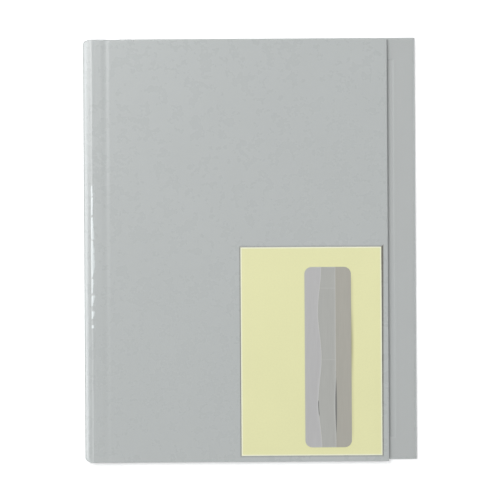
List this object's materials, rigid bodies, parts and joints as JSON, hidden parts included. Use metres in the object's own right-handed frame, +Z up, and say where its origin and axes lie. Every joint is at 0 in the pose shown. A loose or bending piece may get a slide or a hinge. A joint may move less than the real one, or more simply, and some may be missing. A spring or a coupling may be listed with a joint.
{
  "type": "hardcover binding cover",
  "caption": "Empty grey hardcover binding case, folded shut, with a yellow backing sheet and a cut grey label on its front.",
  "frame": {"origin": "middle of the footprint, on the surface that the cover lies on", "axes": "+X from the fold to the fore edges, +Y from tail to head, +Z up"},
  "size_m": [0.236, 0.301, 0.0054],
  "materials": {
    "covering": "satin film",
    "greyboard": "raw board",
    "lining": "smooth paper",
    "backing_paper": "siliconised paper",
    "label_facing": "satin paper"
  },
  "bodies": {
    "spine": {"spine_board": "greyboard", "spine_wrap": "covering", "front_fold_wrap": "covering", "back_joint_wrap": "covering"},
    "back_strip": {"back_strip_board": "greyboard", "back_strip_wrap": "covering", "back_strip_lining": "lining", "back_crease_wrap": "covering"},
    "back_cover": {"back_board": "greyboard", "back_cover_wrap": "covering", "back_cover_lining": "lining"},
    "front_strip": {"front_strip_board": "greyboard", "front_strip_wrap": "covering", "front_strip_lining": "lining", "front_crease_wrap": "covering"},
    "front_cover": {"front_board": "greyboard", "front_cover_wrap": "covering", "front_cover_lining": "lining", "backing_sheet": "backing_paper", "label_left_strip": "label_facing", "label_middle_strip": "label_facing", "label_right_strip": "label_facing"}
  },
  "joints": [
    {"name": "back_joint", "type": "hinge", "parent": "spine", "child": "back_strip", "pos_m": [-0.097, 0, 0.00013], "axis": [0, -1, 0], "range_deg": [0, 90], "deforming": ["back_joint_wrap"]},
    {"name": "front_fold", "type": "hinge", "parent": "spine", "child": "front_strip", "pos_m": [-0.115, 0, 0.00245], "axis": [0, -1, 0], "range_deg": [0, 90], "deforming": ["front_fold_wrap"]},
    {"name": "back_crease", "type": "hinge", "parent": "back_strip", "child": "back_cover", "pos_m": [-0.0825, 0, -0.0001], "axis": [0, 1, 0], "range_deg": [0, 175], "deforming": ["back_crease_wrap"]},
    {"name": "front_crease", "type": "hinge", "parent": "front_strip", "child": "front_cover", "pos_m": [-0.1025, 0, 0.005], "axis": [0, -1, 0], "range_deg": [0, 175], "deforming": ["front_crease_wrap"]}
  ],
  "couplings": [
    {"joint": "back_joint", "follows": "front_fold", "ratio": 1}
  ]
}
